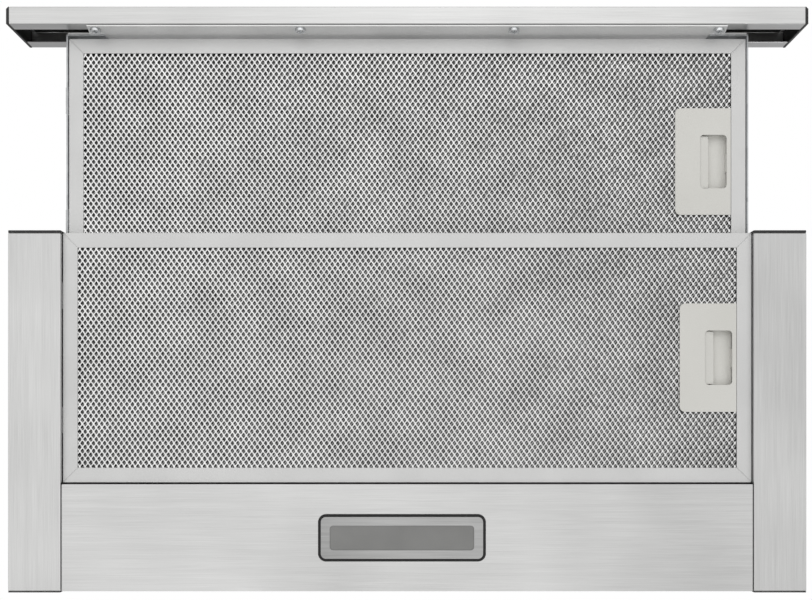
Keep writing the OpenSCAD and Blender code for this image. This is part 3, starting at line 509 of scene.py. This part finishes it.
bar_low, bar_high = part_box("front_bar")
bezel_low, bezel_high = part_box("button_bezel")
SHEET = 1.0 * MM          # the bar's sheet
AIR = 0.02 * MM           # keeps the felt just off the sheet
LIP_CLEAR = 0.6 * MM      # above the bar's lower lip
CAP_ROOM = 3.5 * MM       # beside an end cap
BUTTON_ROOM = 6 * MM      # beside the buttons
FELT_THICK = 0.7 * MM
felt_y = bar_low[1] + SHEET + AIR
felt_z = (bar_low[2] + SHEET + LIP_CLEAR, bar_high[2] - SHEET - AIR)
shade_felt_strip("bar_shade_felt_left", bar_low[0] + CAP_ROOM, bezel_low[0] - BUTTON_ROOM,
           felt_y, *felt_z, FELT_THICK)
shade_felt_strip("bar_shade_felt_right", bezel_high[0] + BUTTON_ROOM, bar_high[0] - CAP_ROOM,
           felt_y, *felt_z, FELT_THICK)


# ---- Latch springs ----

WIRE = 0.22 * MM          # the wire's radius
COIL_TURNS = 4
TURN_STEPS = 16           # straight pieces in a turn
WIRE_SIDES = 8


def coil_spring(which):
    """A latch's return spring, wound from round wire."""
    low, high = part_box(which + "_latch_spring")
    rings = COIL_TURNS * TURN_STEPS
    length = high[0] - low[0]
    radius = (high[2] - low[2]) / 2 - WIRE
    mid_y, mid_z = (low[1] + high[1]) / 2, (low[2] + high[2]) / 2
    verts = []
    for i in range(rings + 1):
        turn = i * math.tau / TURN_STEPS
        x = low[0] + WIRE + (length - 2 * WIRE) * i / rings
        for k in range(WIRE_SIDES):
            around = k * math.tau / WIRE_SIDES
            reach = radius + WIRE * math.cos(around)
            verts.append((x + WIRE * math.sin(around), mid_y + reach * math.cos(turn),
                          mid_z + reach * math.sin(turn)))
    faces = [tuple(ring * WIRE_SIDES + k for k in quad)
             for ring in range(rings) for quad in prism(WIRE_SIDES)]
    faces += [tuple(end * WIRE_SIDES + k for k in range(WIRE_SIDES)) for end in (0, rings)]
    mesh = closed_mesh(which + "_coil_spring", verts, faces)
    mesh.shade_smooth()
    obj = piece(which + "_coil_spring", mesh, zinc, which + "_filter")
    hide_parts(which + "_latch_spring")
    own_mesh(obj)


for which in ("front", "rear"):
    coil_spring(which)


# ---- Floor, light and camera ----

z_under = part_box("side_channel_left")[0].z
CAMERA_DROP = 0.733       # from the underside down to the camera
FLOOR_DROP = 1.5          # a raised hood: the floor is this far below it
FLOOR_HALF = 14.0
LIGHT_DROP = 1.0          # from the underside down to the small softboxes
BIG_LIGHT_DROP = 1.15
LIT_BY_WORLD = 0.5        # the world's strength as a light; it shows at full strength


def floor():
    z = z_under - FLOOR_DROP
    corners = [(x * FLOOR_HALF, y * FLOOR_HALF, z) for x, y in ((-1, -1), (1, -1), (1, 1), (-1, 1))]
    paper = grained("paper_pale_matt", "#ECECEA", "#E6E6E4", rough=0.8, grain_mm=2.0, relief=0.05,
                    patch_mm=400)
    show("studio_floor", plain_mesh("studio_floor", corners, [(0, 1, 2, 3)]), paper)


def soft_light(name, place_at, aim, size, power):
    """A square area light, size in metres and power in watts. The camera doesn't see it."""
    lamp = bpy.data.lights.new(name, "AREA")
    lamp.shape = "RECTANGLE"
    lamp.size = size
    lamp.size_y = size
    lamp.energy = power
    obj = bpy.data.objects.new(name, lamp)
    obj.location = place_at
    obj.rotation_euler = (Vector(aim) - Vector(place_at)).to_track_quat("-Z", "Y").to_euler()
    obj.visible_camera = False
    scene.collection.objects.link(obj)


floor()
world = bpy.data.worlds.new("studio")
scene.world = world
world.use_nodes = True
sky = world.node_tree
sky.nodes.clear()
rays = add(sky, "LightPath")
shown = add(sky, "Background", {"Color": (1, 1, 1, 1), "Strength": 1.0})
lit = add(sky, "Background", {"Color": (1, 1, 1, 1), "Strength": LIT_BY_WORLD})
chosen = add(sky, "MixShader", {
    0: rays.outputs["Is Camera Ray"], 1: lit.outputs[0], 2: shown.outputs[0]})
add(sky, "OutputWorld", {"Surface": chosen.outputs[0]})

light_z = z_under - LIGHT_DROP
under = (0, 0, z_under)
under_front = (0, -0.2, z_under)
above = (0, 0, -0.1)
soft_light("under_softbox", (0, 0, z_under - BIG_LIGHT_DROP), under, size=3.2, power=14.5)
soft_light("front_left_softbox", (-0.75, -0.75, light_z), under_front, size=0.9, power=0.55)
soft_light("front_right_softbox", (0.75, -0.75, light_z), under_front, size=0.9, power=0.65)
soft_light("front_softbox", (0, -0.95, light_z), under_front, size=0.7, power=0.85)
soft_light("rear_left_softbox", (-0.42, 0.24, light_z), (-0.15, 0.1, z_under), size=0.4, power=0.17)
soft_light("rear_right_softbox", (0.42, 0.24, light_z), (0.15, 0.1, z_under), size=0.4, power=0.07)
soft_light("top_softbox", (-1.2, -1.6, 1.6), above, size=1.6, power=30)
soft_light("back_softbox", (0.6, 1.9, 1.0), above, size=1.4, power=12)

camera_data = bpy.data.cameras.new("camera")
camera = bpy.data.objects.new("camera", camera_data)
scene.collection.objects.link(camera)
camera.location = (0.0047, 0.0127, z_under - CAMERA_DROP)
camera.rotation_euler = Euler((math.pi, 0, 0))
camera_data.sensor_width = 36.0
camera_data.lens = 43.46
camera_data.shift_x = -0.0092
camera_data.shift_y = 0.1589
camera_data.clip_start = 0.01
scene.camera = camera
scene.view_settings.view_transform = "Standard"
